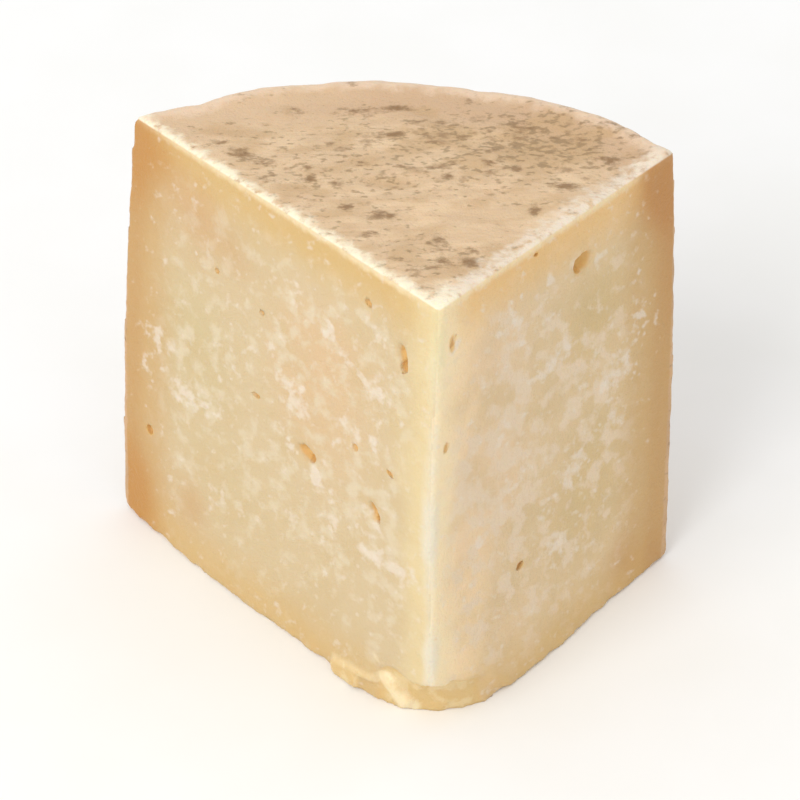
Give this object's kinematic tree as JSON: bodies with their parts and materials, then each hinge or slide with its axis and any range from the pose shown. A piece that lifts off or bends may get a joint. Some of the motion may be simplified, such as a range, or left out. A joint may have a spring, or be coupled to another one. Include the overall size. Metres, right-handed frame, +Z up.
{
  "type": "aged sheep cheese chunk",
  "caption": "Quarter-like wedge of a tall aged sheep cheese wheel, standing on its base, with two flat cut faces, rind on top and round the back, and a crumbled foot at the tip.",
  "frame": {"origin": "under the middle of the bounding box, on the flat base that the chunk stands on", "axes": "+Z up through the wheel's height; -Y towards the edge where the two cut faces meet; +X towards the shorter cut face's side"},
  "size_m": [0.127, 0.0998, 0.1187],
  "materials": {
    "aged_cheese": "dense pale golden paste, softly matt, with a tan mottled rind"
  },
  "bodies": {
    "root": {"cheese_chunk": "aged_cheese"}
  },
  "joints": []
}
